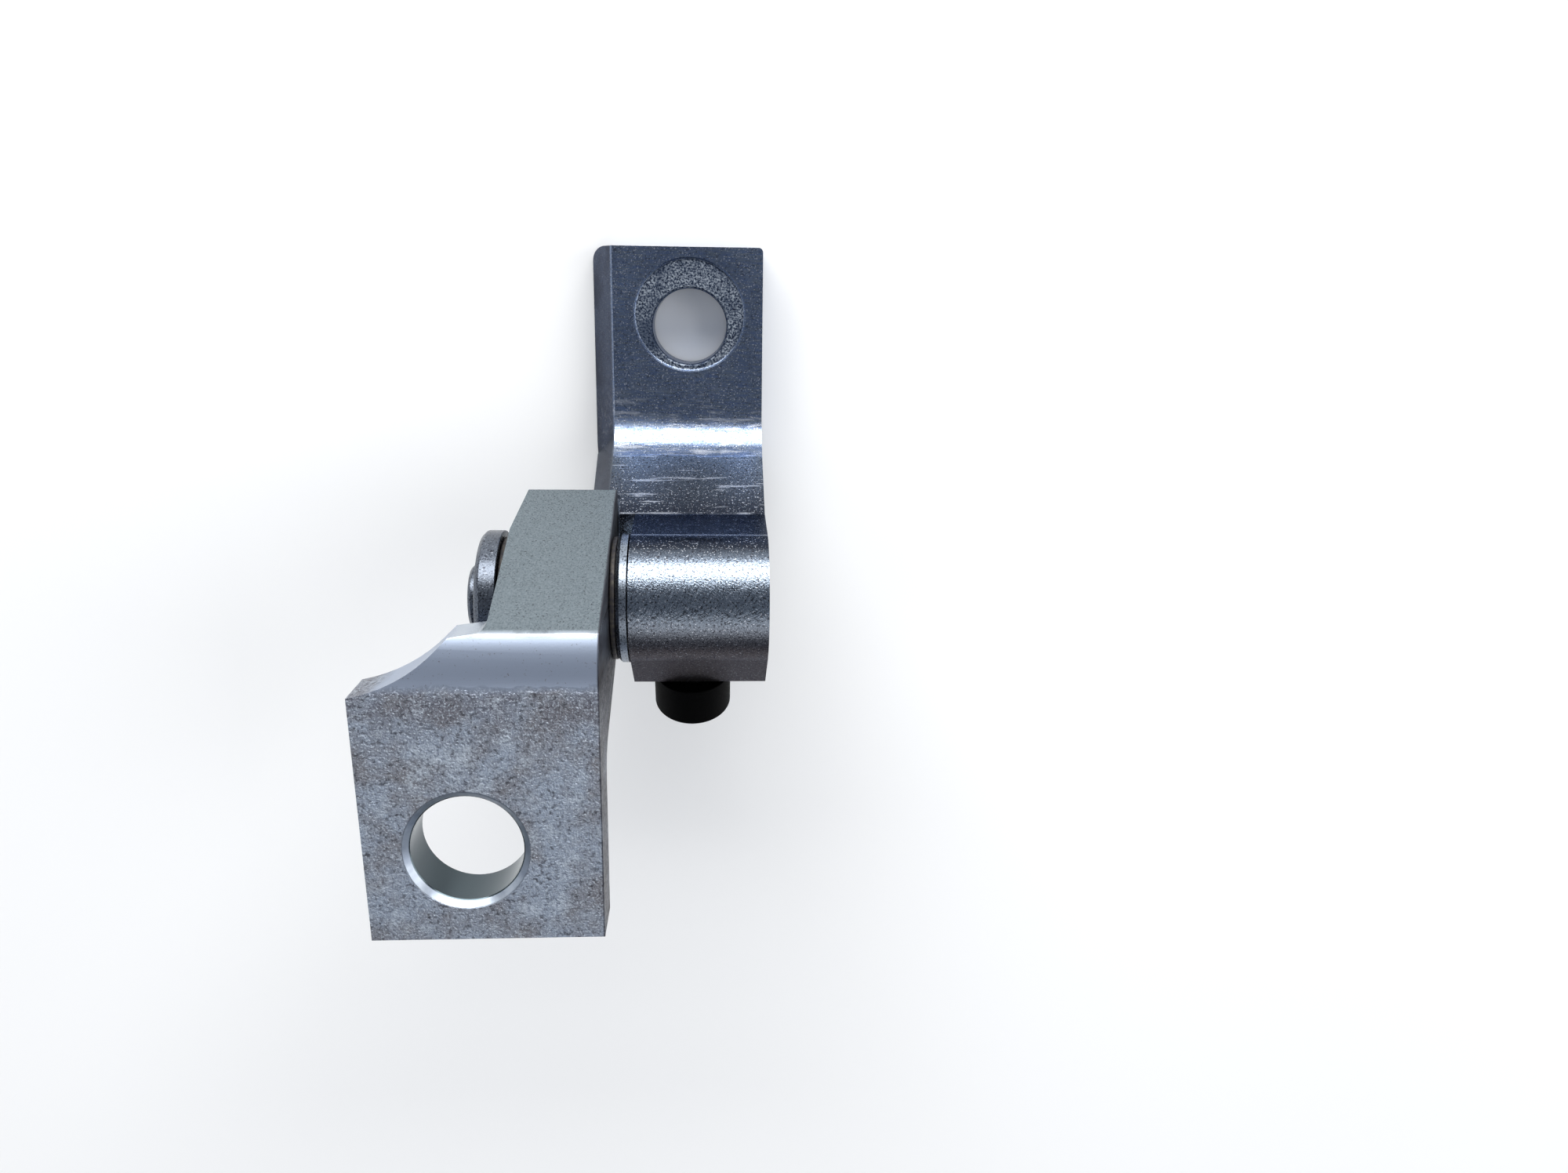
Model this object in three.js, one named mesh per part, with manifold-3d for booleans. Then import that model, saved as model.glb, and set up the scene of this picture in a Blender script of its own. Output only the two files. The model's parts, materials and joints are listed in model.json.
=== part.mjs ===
// Lift-off door hinge of a road vehicle: a pillar leaf and a door leaf cut from steel profile,
// a headed pin that turns in two flanged bushes, and a cap screw that locks the pin.
// Units are millimetres. X runs along the pin, Y from the pillar plate to the door tab, +Z up,
// and both bolting faces lie level. Everything is drawn around the pin axis, with X = 0 on the
// arm's inner side, and moved at the end so that the origin lies on the pillar bolting face.
import * as THREE from "three";
import { mergeVertices } from "three/addons/utils/BufferGeometryUtils.js";
import Module from "manifold-3d";

const wasm = await Module();
wasm.setup();

const rad = THREE.MathUtils.degToRad;

// ---- Driving dimensions --------------------------------------------------------------------
const RUNNING_GAP = 0.05;      // radial clearance of the pin in its bushes and of each press fit
const END_GAP = 0.1;           // axial play between the pieces stacked along the pin
const COLLAR_GAP = 0.3;        // groove between the pin's collar and the knuckle
const SCREW_GAP = 0.2;         // clearance round the lock screw

// Pillar leaf
const PLATE_TOP = 27.2;        // outer face of the plate above the pin axis
const PLATE_THICKNESS = 8.5;
const PLATE_REACH = 45.5;      // from the pin axis to the plate's free end
const PLATE_WIDTH = 35.5;
const PLATE_TAPER = 1;         // narrowing towards the plate's free end
const PLATE_HOLE_DIAMETER = 16.6;
const PLATE_HOLE_X = -19.9;
const PLATE_HOLE_Y = -31.1;
const PLATE_HOLE_CHAMFER = 0.9;
const ARM_WIDTH = 16.2;
const ARM_LEAN = 67.6;         // degrees from the plate down to the arm's outer face
const EYE_RADIUS = 10.85;      // pin axis to the arm's outer face, and the eye's round back
const NOSE_REACH = 16.3;       // how far the arm runs past the pin
const NOSE_THICKNESS = 7;
const NOSE_TAPER = 1.6;        // how much narrower the arm is at its end
const NOSE_TAPER_START = 4;    // where that narrowing starts, past the pin
const BEND_RADIUS = 12.7;      // outside of the bend between the plate and the arm
const BEND_TURN = 35;          // degrees of that bend up to the crease where the arm's cut starts
const CROTCH_RADIUS = 6;       // inside of that bend
const SHOULDER_Y = 1.6;         // where the arm is cut narrower than the plate
const SHOULDER_WIDTH = 5.1;    // flat of the shoulder beside the arm
const SHOULDER_FALL = 0.7;     // slope of that flat away from the arm
const SHOULDER_FILLET = 1.2;
const CORNER_CHAMFER = 1.4;
const CORNER_DROP = 9;         // from the shoulder to the corner cut's end on the plate's side
const CORNER_HOLLOW_RADIUS = 24;

// Door leaf
const TAB_DROP = 28.8;         // tab's outer face below the pin axis
const TAB_THICKNESS = 8;
const TAB_REACH = 56.1;        // from the pin axis to the tab's free end
const TAB_OVERHANG = 1.6;      // how far the tab passes the arm's inner side
const TAB_SIDE_FLARE = 4;      // slope of the leaf's sawn side across its thickness
const TAB_OUTER_CORNER = 2.5;
const TAB_INNER_CORNER = 0.8;
const TAB_HOLE_DIAMETER = 13.2;
const TAB_HOLE_X = 12;
const TAB_HOLE_Y = 42.4;
const TAB_HOLE_BEVEL = 0.4;
const SEAT_DIAMETER = 20;      // spot face for the bolt's washer
const SEAT_DEPTH = 0.5;
const SEAT_SHIFT = 2;          // the spot face lies this much nearer the tab's end than the hole
const SEAT_BEVEL = 0.5;
const RAMP_SLOPE = 58.8;       // degrees of the web between the tab and the knuckle
const RAMP_TOP_Y = 11.9;
const RAMP_TOP_DROP = 10.6;
const WEB_THICKNESS = 10;
const TAB_FILLET = 11;         // milled fillet between the tab and the web
const HEEL_RADIUS = 8;
const WAIST_RADIUS = 5;
const KNUCKLE_LENGTH = 22;
const KNUCKLE_RADIUS = 10.8;
const KNUCKLE_DEPTH = 15;      // knuckle's underside below the pin axis
const FACET_ANGLE = 142.5;     // where the knuckle's round passes into its flat flank
const ARM_SWEEP_GAP = 1;       // free space round the arm's nose as it turns past the web
const ARM_SIDE_GAP = 0.3;      // between the web and the arm's inner side
const COLLAR_CLEARANCE = 0.6;  // between the web and the rim of the pin's collar

// Pin, bushes, retaining disc and lock screw
const PIN_DIAMETER = 12;
const PIN_RECESS = 1.5;        // pin's end below the knuckle's end face
const PIN_CHAMFER = 0.8;
const COLLAR_DIAMETER = 21;
const COLLAR_THICKNESS = 1.7;
const COLLAR_ROUND = 0.6;
const TAIL_DIAMETER = 9;
const RIVET_DIAMETER = 11;
const RIVET_HEIGHT = 1.9;
const RIVET_CHAMFER = 0.5;
const DISC_DIAMETER = 22;
const DISC_THICKNESS = 3.4;
const DISC_CHAMFER = 0.7;
const BUSH_WALL = 0.8;
const BUSH_FLANGE_DIAMETER = 20;
const BUSH_SPLIT = 0.6;        // grease gap between the two bushes' inner ends
const SCREW_X = 12.65;
const SCREW_ANGLE = 23.5;      // degrees that the screw leans down from level
const SCREW_SEAT = 15;         // pin axis to the face under the screw's head
const SCREW_DIAMETER = 8;
const SCREW_HEAD_DIAMETER = 13;
const SCREW_HEAD_HEIGHT = 8;
const SCREW_HEAD_CHAMFER = 0.8;
const SCREW_POINT_DIAMETER = 5.6;
const SCREW_POINT_BITE = 1.6;  // how deep the point sits in the pin
const SOCKET_ACROSS_FLATS = 6;
const SOCKET_DEPTH = 4;

const EDGE_ROUND = 0.8;        // broken edges of both leaves
const FACETS = 72;             // sides of every full circle
const OVERCUT = 1;             // how far a cutting tool runs past what it cuts

// ---- Sizes that follow ----------------------------------------------------------------------
const bushBore = PIN_DIAMETER + 2 * RUNNING_GAP;
const bushOuter = bushBore + 2 * BUSH_WALL;
const eyeBore = bushOuter + 2 * RUNNING_GAP;
const knuckleBore = PIN_DIAMETER + 2 * RUNNING_GAP;

const innerFlange = END_GAP;
const collarLeft = innerFlange + BUSH_WALL + END_GAP;
const knuckleLeft = collarLeft + COLLAR_THICKNESS + COLLAR_GAP;
const knuckleRight = knuckleLeft + KNUCKLE_LENGTH;
const pinRight = knuckleRight - PIN_RECESS;
const armLeft = -ARM_WIDTH;
const discRight = armLeft - END_GAP - BUSH_WALL - END_GAP;
const discLeft = discRight - DISC_THICKNESS;
const rivetRight = discLeft - RUNNING_GAP;
const rivetLeft = rivetRight - RIVET_HEIGHT;
const bushLength = (ARM_WIDTH - BUSH_SPLIT) / 2;

const plateBottom = PLATE_TOP - PLATE_THICKNESS;
const tabBottom = -TAB_DROP - TAB_THICKNESS;

// ---- Shape helpers --------------------------------------------------------------------------
function toSolid(geometry) {
  const plain = geometry.index ? geometry.toNonIndexed() : geometry.clone();
  for (const name of Object.keys(plain.attributes)) {
    if (name !== "position") plain.deleteAttribute(name);
  }
  const merged = mergeVertices(plain, 1e-5);
  const vertProperties = new Float32Array(merged.attributes.position.array);
  const triVerts = new Uint32Array(merged.index.array);
  return new wasm.Manifold(new wasm.Mesh({ numProp: 3, vertProperties, triVerts }));
}

function toMesh(name, solid, material) {
  const { vertProperties, triVerts } = solid.getMesh();
  const geometry = new THREE.BufferGeometry();
  geometry.setAttribute("position", new THREE.BufferAttribute(vertProperties, 3));
  geometry.setIndex(new THREE.BufferAttribute(triVerts, 1));
  const mesh = new THREE.Mesh(geometry, material);
  mesh.name = name;
  return mesh;
}

// Points of an arc about a centre, in steps of one facet of a full circle.
function arc(centreU, centreV, radius, fromDegrees, toDegrees) {
  const steps = Math.max(2, Math.ceil(Math.abs(toDegrees - fromDegrees) / (360 / FACETS)));
  return Array.from({ length: steps + 1 }, (_, i) => {
    const angle = rad(fromDegrees + ((toDegrees - fromDegrees) * i) / steps);
    return new THREE.Vector2(centreU + radius * Math.cos(angle), centreV + radius * Math.sin(angle));
  });
}

// One outline corner, rounded between its neighbours and limited by their edges.
function roundCorner(before, corner, after, radius) {
  const toBefore = before.clone().sub(corner);
  const toAfter = after.clone().sub(corner);
  const room = 0.48 * Math.min(toBefore.length(), toAfter.length());
  toBefore.normalize();
  toAfter.normalize();
  const half = Math.acos(THREE.MathUtils.clamp(toBefore.dot(toAfter), -1, 1)) / 2;
  const reach = Math.min(radius / Math.tan(half), room);
  const fit = reach * Math.tan(half);
  const middle = toBefore.clone().add(toAfter).normalize().multiplyScalar(fit / Math.sin(half));
  const centre = corner.clone().add(middle);
  const start = corner.clone().addScaledVector(toBefore, reach).sub(centre).angle();
  const end = corner.clone().addScaledVector(toAfter, reach).sub(centre).angle();
  const turn = THREE.MathUtils.euclideanModulo(end - start + Math.PI, 2 * Math.PI) - Math.PI;
  const toDegrees = 180 / Math.PI;
  return arc(centre.x, centre.y, fit, start * toDegrees, (start + turn) * toDegrees);
}

// An outline from corners [u, v, radius] and ready-made runs of points.
function outline(items) {
  const flat = items.flatMap((item) => {
    if (item[0] instanceof THREE.Vector2) return item.map((point) => ({ point, radius: 0 }));
    return [{ point: new THREE.Vector2(item[0], item[1]), radius: item[2] ?? 0 }];
  });
  const count = flat.length;
  return flat.flatMap(({ point, radius }, i) => {
    if (radius === 0) return [point];
    return roundCorner(flat[(i + count - 1) % count].point, point, flat[(i + 1) % count].point, radius);
  });
}

function extrude(points, depth) {
  return new THREE.ExtrudeGeometry(new THREE.Shape(points), { depth, bevelEnabled: false });
}

// A side profile in Y and Z, drawn out along X.
function alongX(points, left, right) {
  const geometry = extrude(points, right - left);
  const turn = new THREE.Matrix4().makeBasis(
    new THREE.Vector3(0, 1, 0), new THREE.Vector3(0, 0, 1), new THREE.Vector3(1, 0, 0));
  geometry.applyMatrix4(turn);
  geometry.translate(left, 0, 0);
  return toSolid(geometry);
}

// A plan outline in X and Y, drawn up along Z.
function alongZ(points, bottom, top) {
  const geometry = extrude(points, top - bottom);
  geometry.translate(0, 0, bottom);
  return toSolid(geometry);
}

// A front outline in X and Z, drawn out along Y.
function alongY(points, near, far) {
  const geometry = extrude(points, far - near);
  geometry.rotateX(Math.PI / 2);
  geometry.translate(0, far, 0);
  return toSolid(geometry);
}

// A turned piece from [radius, height] pairs about +Z.
function turned(profile) {
  const points = profile.map(([radius, height]) => new THREE.Vector2(radius, height));
  const geometry = new THREE.LatheGeometry(points, FACETS);
  geometry.rotateX(Math.PI / 2);
  return toSolid(geometry);
}

function rod(diameter, from, to) {
  return turned([[0, from], [diameter / 2, from], [diameter / 2, to], [0, to]]);
}

function ring(outer, inner, from, to) {
  const big = outer / 2;
  const small = inner / 2;
  return turned([[small, from], [big, from], [big, to], [small, to], [small, from]]);
}

const toPinAxis = (solid) => solid.rotate([0, 90, 0]);

// A tapered tool that breaks the rim of a hole at the given height.
function rimCutter(diameter, bevel, height) {
  const wide = diameter / 2 + bevel;
  return turned([
    [0, height - bevel], [diameter / 2, height - bevel], [wide, height],
    [wide, height + OVERCUT], [0, height + OVERCUT],
  ]);
}

// ---- Materials ------------------------------------------------------------------------------
const zinc = (color, roughness) => new THREE.MeshStandardMaterial({ color, roughness, metalness: 0.9 });
const blastedZinc = zinc(0x8f959b, 0.5);
const brightZinc = zinc(0x9aa1a8, 0.35);
const turnedSteel = zinc(0x8a8f95, 0.3);
const bushBronze = new THREE.MeshStandardMaterial({ color: 0x5b5750, roughness: 0.6, metalness: 0.6 });
const blackOxide = new THREE.MeshStandardMaterial({ color: 0x17171a, roughness: 0.55, metalness: 0.6 });

// ---- Pillar leaf ----------------------------------------------------------------------------
function pillarLeaf() {
  const lean = rad(ARM_LEAN);
  const down = new THREE.Vector2(Math.cos(lean), -Math.sin(lean));
  const out = new THREE.Vector2(Math.sin(lean), Math.cos(lean));
  const face = out.clone().multiplyScalar(EYE_RADIUS);
  const nose = face.clone().addScaledVector(down, NOSE_REACH);
  const chin = nose.clone().addScaledVector(out, -NOSE_THICKNESS);
  const creaseDrop = BEND_RADIUS * (1 - Math.cos(rad(BEND_TURN)));
  const crease = face.clone().addScaledVector(down, (PLATE_TOP - creaseDrop - face.y) / down.y);
  const bendY = crease.x - BEND_RADIUS * Math.sin(rad(BEND_TURN));
  const back = face.clone().negate();
  const crotch = back.clone().addScaledVector(down, -(plateBottom - back.y) / -down.y);
  const backAngle = 270 - ARM_LEAN;
  const chinAngle = 360 + (Math.atan2(chin.y, chin.x) * 180) / Math.PI;
  const tangent = chinAngle - (Math.acos(EYE_RADIUS / chin.length()) * 180) / Math.PI;
  const profile = outline([
    [-PLATE_REACH, PLATE_TOP],
    [-PLATE_REACH, plateBottom],
    [crotch.x, crotch.y, CROTCH_RADIUS],
    arc(0, 0, EYE_RADIUS, backAngle, tangent),
    [chin.x, chin.y, EDGE_ROUND],
    [nose.x, nose.y, EDGE_ROUND],
    arc(bendY, PLATE_TOP - BEND_RADIUS, BEND_RADIUS, 90 - BEND_TURN, 90),
  ]);
  const blank = alongX(profile, -PLATE_WIDTH, 0);

  const shoulderX = armLeft - SHOULDER_WIDTH;
  const cornerY = SHOULDER_Y - CORNER_DROP;
  const hollowStart = new THREE.Vector2(
    shoulderX - CORNER_CHAMFER, SHOULDER_Y - SHOULDER_FALL - CORNER_CHAMFER);
  const hollowEnd = new THREE.Vector2(-PLATE_WIDTH, cornerY);
  const chord = hollowEnd.clone().sub(hollowStart);
  const sag = Math.sqrt(CORNER_HOLLOW_RADIUS ** 2 - (chord.length() / 2) ** 2);
  const aside = new THREE.Vector2(chord.y, -chord.x).normalize().multiplyScalar(sag);
  const centre = hollowStart.clone().addScaledVector(chord, 0.5).add(aside);
  const first = hollowStart.clone().sub(centre).angle() * (180 / Math.PI);
  const last = hollowEnd.clone().sub(centre).angle() * (180 / Math.PI);
  const far = PLATE_REACH + OVERCUT;
  const waste = outline([
    [armLeft, far],
    [armLeft, SHOULDER_Y, SHOULDER_FILLET],
    [shoulderX, SHOULDER_Y - SHOULDER_FALL],
    arc(centre.x, centre.y, CORNER_HOLLOW_RADIUS, first, last),
    [-PLATE_WIDTH + PLATE_TAPER, -PLATE_REACH],
    [-PLATE_WIDTH + PLATE_TAPER, -far],
    [-PLATE_WIDTH - OVERCUT, -far],
    [-PLATE_WIDTH - OVERCUT, far],
  ]);
  const noseSide = outline([
    [armLeft - OVERCUT, NOSE_TAPER_START],
    [armLeft, NOSE_TAPER_START],
    [armLeft + NOSE_TAPER, NOSE_REACH],
    [armLeft + NOSE_TAPER, NOSE_REACH + OVERCUT],
    [armLeft - OVERCUT, NOSE_REACH + OVERCUT],
  ]);
  const noseWaste = alongZ(noseSide, -EYE_RADIUS, 2 * EYE_RADIUS).rotate([-ARM_LEAN, 0, 0]);
  const underArm = outline([
    [-PLATE_WIDTH - OVERCUT, -PLATE_REACH - OVERCUT],
    [armLeft, -PLATE_REACH - OVERCUT],
    [armLeft, far],
    [-PLATE_WIDTH - OVERCUT, far],
  ]);
  const hole = rod(PLATE_HOLE_DIAMETER, plateBottom - OVERCUT, PLATE_TOP + OVERCUT)
    .add(rimCutter(PLATE_HOLE_DIAMETER, PLATE_HOLE_CHAMFER, PLATE_TOP))
    .translate([PLATE_HOLE_X, PLATE_HOLE_Y, 0]);
  return blank
    .subtract(alongZ(waste, -PLATE_REACH, PLATE_TOP + OVERCUT))
    .subtract(alongZ(underArm, -PLATE_REACH, plateBottom))
    .subtract(noseWaste)
    .subtract(hole)
    .subtract(toPinAxis(rod(eyeBore, armLeft - OVERCUT, OVERCUT)));
}

// ---- Door leaf ------------------------------------------------------------------------------
const screwAxis = new THREE.Vector2(-Math.cos(rad(SCREW_ANGLE)), -Math.sin(rad(SCREW_ANGLE)));

// Turns a piece drawn up +Z from the pin axis so that it points along the lock screw.
const toScrewAxis = (solid) => solid.rotate([90 + SCREW_ANGLE, 0, 0]).translate([SCREW_X, 0, 0]);

function doorLeaf() {
  const slope = Math.tan(rad(RAMP_SLOPE));
  const rampTop = new THREE.Vector2(RAMP_TOP_Y, -RAMP_TOP_DROP);
  const rampFoot = RAMP_TOP_Y + (TAB_DROP - RAMP_TOP_DROP) / slope;
  const backShift = WEB_THICKNESS / Math.sin(rad(RAMP_SLOPE));
  const backAt = (height) => RAMP_TOP_Y - backShift + (-RAMP_TOP_DROP - height) / slope;
  const rampAngle = (Math.atan2(rampTop.y, rampTop.x) * 180) / Math.PI;
  const tangent = rampAngle + (Math.acos(KNUCKLE_RADIUS / rampTop.length()) * 180) / Math.PI;

  const facetNormal = new THREE.Vector2(Math.cos(rad(FACET_ANGLE)), Math.sin(rad(FACET_ANGLE)));
  const facetStart = facetNormal.clone().multiplyScalar(KNUCKLE_RADIUS);
  const facetRun = new THREE.Vector2(-facetNormal.y, facetNormal.x);
  const facetLength = (SCREW_SEAT - facetStart.dot(screwAxis)) / facetRun.dot(screwAxis);
  const brow = facetStart.clone().addScaledVector(facetRun, facetLength);
  const seatRun = new THREE.Vector2(-screwAxis.y, screwAxis.x);
  const seatMiddle = screwAxis.clone().multiplyScalar(SCREW_SEAT);
  const seatFoot = seatMiddle.clone().addScaledVector(seatRun, (-KNUCKLE_DEPTH - seatMiddle.y) / seatRun.y);
  const profile = outline([
    [TAB_REACH, -TAB_DROP],
    [rampFoot, -TAB_DROP, TAB_FILLET],
    [rampTop.x, rampTop.y],
    arc(0, 0, KNUCKLE_RADIUS, tangent, FACET_ANGLE),
    [brow.x, brow.y, EDGE_ROUND],
    [seatFoot.x, seatFoot.y, EDGE_ROUND],
    [backAt(-KNUCKLE_DEPTH), -KNUCKLE_DEPTH, WAIST_RADIUS],
    [backAt(tabBottom), tabBottom, HEEL_RADIUS],
    [TAB_REACH, tabBottom],
  ]);
  const strap = outline([
    [TAB_REACH, -TAB_DROP],
    [rampFoot, -TAB_DROP, TAB_FILLET],
    [rampTop.x, rampTop.y],
    [backAt(-RAMP_TOP_DROP), -RAMP_TOP_DROP],
    [backAt(tabBottom), tabBottom, HEEL_RADIUS],
    [TAB_REACH, tabBottom],
  ]);

  // The sawn side slopes across the leaf's thickness on the tab and on the web, and the two
  // slopes meet on the plane that halves the bend.
  const reach = 2 * TAB_REACH;
  const widest = -TAB_OVERHANG - TAB_SIDE_FLARE;
  const side = outline([
    [-reach, reach],
    [-TAB_OVERHANG, reach],
    [-TAB_OVERHANG, 0],
    [widest, -TAB_THICKNESS],
    [widest, -reach],
    [-reach, -reach],
  ]);
  const tabWaste = alongY(side, -reach, reach).translate([0, 0, -TAB_DROP]);
  const webWaste = alongY(side, -reach, reach)
    .rotate([-RAMP_SLOPE, 0, 0])
    .translate([0, rampTop.x, rampTop.y]);
  const halfBend = rad(90 - RAMP_SLOPE / 2);
  const halving = new THREE.Vector2(Math.cos(halfBend), Math.sin(halfBend)).multiplyScalar(reach);
  const foot = new THREE.Vector2(rampFoot, -TAB_DROP);
  const beyondBend = alongX([
    foot.clone().add(halving),
    foot.clone().sub(halving),
    new THREE.Vector2(2 * reach, -reach),
    new THREE.Vector2(2 * reach, reach),
  ], -reach, reach);
  const strip = alongX(strap, widest, knuckleRight).add(alongX(profile, knuckleLeft, knuckleRight));
  const plan = outline([
    [widest, -reach],
    [widest, TAB_REACH, TAB_OUTER_CORNER],
    [knuckleRight, TAB_REACH, TAB_INNER_CORNER],
    [knuckleRight, -reach],
  ]);
  const sideWaste = tabWaste.intersect(beyondBend).add(webWaste.subtract(beyondBend));
  const blank = strip.subtract(sideWaste).intersect(alongZ(plan, -reach, reach));

  const noseRadius = Math.hypot(EYE_RADIUS, NOSE_REACH) + ARM_SWEEP_GAP;
  const sweep = toPinAxis(rod(2 * noseRadius, widest - OVERCUT, ARM_SIDE_GAP));
  const collarSpace = COLLAR_DIAMETER + 2 * COLLAR_CLEARANCE;
  const scallop = toPinAxis(rod(collarSpace, widest - OVERCUT, knuckleLeft));
  const top = -TAB_DROP;
  const hole = rod(TAB_HOLE_DIAMETER, tabBottom - OVERCUT, top + OVERCUT)
    .add(rimCutter(TAB_HOLE_DIAMETER, TAB_HOLE_BEVEL, top - SEAT_DEPTH))
    .translate([TAB_HOLE_X, TAB_HOLE_Y, 0]);
  const seat = rod(SEAT_DIAMETER - 2 * SEAT_BEVEL, top - SEAT_DEPTH, top + OVERCUT)
    .add(rimCutter(SEAT_DIAMETER - 2 * SEAT_BEVEL, SEAT_BEVEL, top))
    .translate([TAB_HOLE_X, TAB_HOLE_Y + SEAT_SHIFT, 0]);
  const screwHole = toScrewAxis(rod(SCREW_DIAMETER + 2 * SCREW_GAP, 0, SCREW_SEAT + OVERCUT));
  return blank
    .subtract(sweep)
    .subtract(scallop)
    .subtract(hole)
    .subtract(seat)
    .subtract(screwHole)
    .subtract(toPinAxis(rod(knuckleBore, widest - OVERCUT, knuckleRight + OVERCUT)));
}

// ---- Pin, bushes, retaining disc and lock screw ----------------------------------------------
function hingePin() {
  const shank = PIN_DIAMETER / 2;
  const collar = COLLAR_DIAMETER / 2;
  const tail = TAIL_DIAMETER / 2;
  const rivet = RIVET_DIAMETER / 2;
  const collarRight = collarLeft + COLLAR_THICKNESS;
  const body = toPinAxis(turned([
    [0, rivetLeft],
    [rivet - RIVET_CHAMFER, rivetLeft],
    [rivet, rivetLeft + RIVET_CHAMFER],
    [rivet, rivetRight],
    [tail, rivetRight],
    [tail, discRight],
    [shank, discRight],
    [shank, collarLeft],
    [collar - COLLAR_ROUND, collarLeft],
    [collar, collarLeft + COLLAR_ROUND],
    [collar, collarRight],
    [shank, collarRight],
    [shank, pinRight - PIN_CHAMFER],
    [shank - PIN_CHAMFER, pinRight],
    [0, pinRight],
  ]));
  const pocketFloor = shank - SCREW_POINT_BITE - SCREW_GAP;
  const pocket = rod(SCREW_POINT_DIAMETER + 2 * SCREW_GAP, pocketFloor, PIN_DIAMETER);
  return body.subtract(toScrewAxis(pocket));
}

function bush(flangeSide) {
  const sleeve = ring(bushOuter, bushBore, -bushLength, END_GAP + BUSH_WALL);
  const flange = ring(BUSH_FLANGE_DIAMETER, bushBore, END_GAP, END_GAP + BUSH_WALL);
  const piece = toPinAxis(sleeve.add(flange));
  return flangeSide > 0 ? piece : piece.rotate([0, 180, 0]).translate([armLeft, 0, 0]);
}

function retainingDisc() {
  const rim = DISC_DIAMETER / 2;
  const bore = TAIL_DIAMETER / 2 + RUNNING_GAP;
  return toPinAxis(turned([
    [bore, discLeft],
    [rim - DISC_CHAMFER, discLeft],
    [rim, discLeft + DISC_CHAMFER],
    [rim, discRight - RUNNING_GAP],
    [bore, discRight - RUNNING_GAP],
    [bore, discLeft],
  ]));
}

function lockScrew() {
  const shank = SCREW_DIAMETER / 2;
  const head = SCREW_HEAD_DIAMETER / 2;
  const point = SCREW_POINT_DIAMETER / 2;
  const underHead = SCREW_SEAT + SCREW_GAP;
  const top = underHead + SCREW_HEAD_HEIGHT;
  const shankEnd = PIN_DIAMETER / 2 + SCREW_GAP;
  const body = turned([
    [0, PIN_DIAMETER / 2 - SCREW_POINT_BITE],
    [point, PIN_DIAMETER / 2 - SCREW_POINT_BITE],
    [point, shankEnd],
    [shank, shankEnd],
    [shank, underHead],
    [head, underHead],
    [head, top - SCREW_HEAD_CHAMFER],
    [head - SCREW_HEAD_CHAMFER, top],
    [0, top],
  ]);
  const socket = toSolid(new THREE.CylinderGeometry(
    SOCKET_ACROSS_FLATS / Math.sqrt(3), SOCKET_ACROSS_FLATS / Math.sqrt(3), 2 * SOCKET_DEPTH, 6)
    .rotateX(Math.PI / 2)
    .translate(0, 0, top));
  return toScrewAxis(body.subtract(socket));
}

// ---- Assembly -------------------------------------------------------------------------------
const MOUNT_OFFSET = 3;        // the origin lies this far past the rim of the pillar hole
const originY = PLATE_HOLE_Y - PLATE_HOLE_DIAMETER / 2 - MOUNT_OFFSET;

const group = new THREE.Group();
group.add(
  toMesh("pillar_leaf", pillarLeaf(), blastedZinc),
  toMesh("door_leaf", doorLeaf(), brightZinc),
  toMesh("hinge_pin", hingePin(), turnedSteel),
  toMesh("bush_inner", bush(1), bushBronze),
  toMesh("bush_outer", bush(-1), bushBronze),
  toMesh("retaining_disc", retainingDisc(), turnedSteel),
  toMesh("lock_screw", lockScrew(), blackOxide),
);
group.position.set(-PLATE_HOLE_X, -originY, -plateBottom);

export default group;
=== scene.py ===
"""Finished look of a vehicle door hinge: two zinc-plated steel leaves, a turned pin with its
retaining disc and bushes, and a black lock screw, on a pale floor."""
import json
import math
from functools import partial
from types import SimpleNamespace

import bmesh
import bpy
from mathutils import Matrix, Vector


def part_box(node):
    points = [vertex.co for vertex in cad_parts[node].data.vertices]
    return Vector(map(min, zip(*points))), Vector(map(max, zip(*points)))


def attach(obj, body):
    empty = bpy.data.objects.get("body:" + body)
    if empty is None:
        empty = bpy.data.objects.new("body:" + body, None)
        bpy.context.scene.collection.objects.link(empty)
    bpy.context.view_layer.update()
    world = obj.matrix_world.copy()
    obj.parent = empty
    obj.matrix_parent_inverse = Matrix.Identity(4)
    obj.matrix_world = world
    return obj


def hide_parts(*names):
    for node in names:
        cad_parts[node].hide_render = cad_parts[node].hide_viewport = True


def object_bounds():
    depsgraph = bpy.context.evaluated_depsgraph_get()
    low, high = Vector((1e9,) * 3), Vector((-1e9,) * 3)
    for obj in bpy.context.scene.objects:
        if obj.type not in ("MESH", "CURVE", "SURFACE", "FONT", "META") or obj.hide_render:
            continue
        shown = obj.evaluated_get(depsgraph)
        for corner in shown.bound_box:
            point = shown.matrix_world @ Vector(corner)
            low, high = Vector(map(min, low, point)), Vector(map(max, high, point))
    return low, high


bl_info = {
    "name": "Vehicle door hinge",
    "version": (1, 0, 0),
    "blender": (4, 5, 0),
    "location": "3D View > Sidebar > Hinge",
    "description": "Finishes the leaves, pin, bushes and lock screw of a vehicle door hinge",
    "category": "Object",
}

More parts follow.
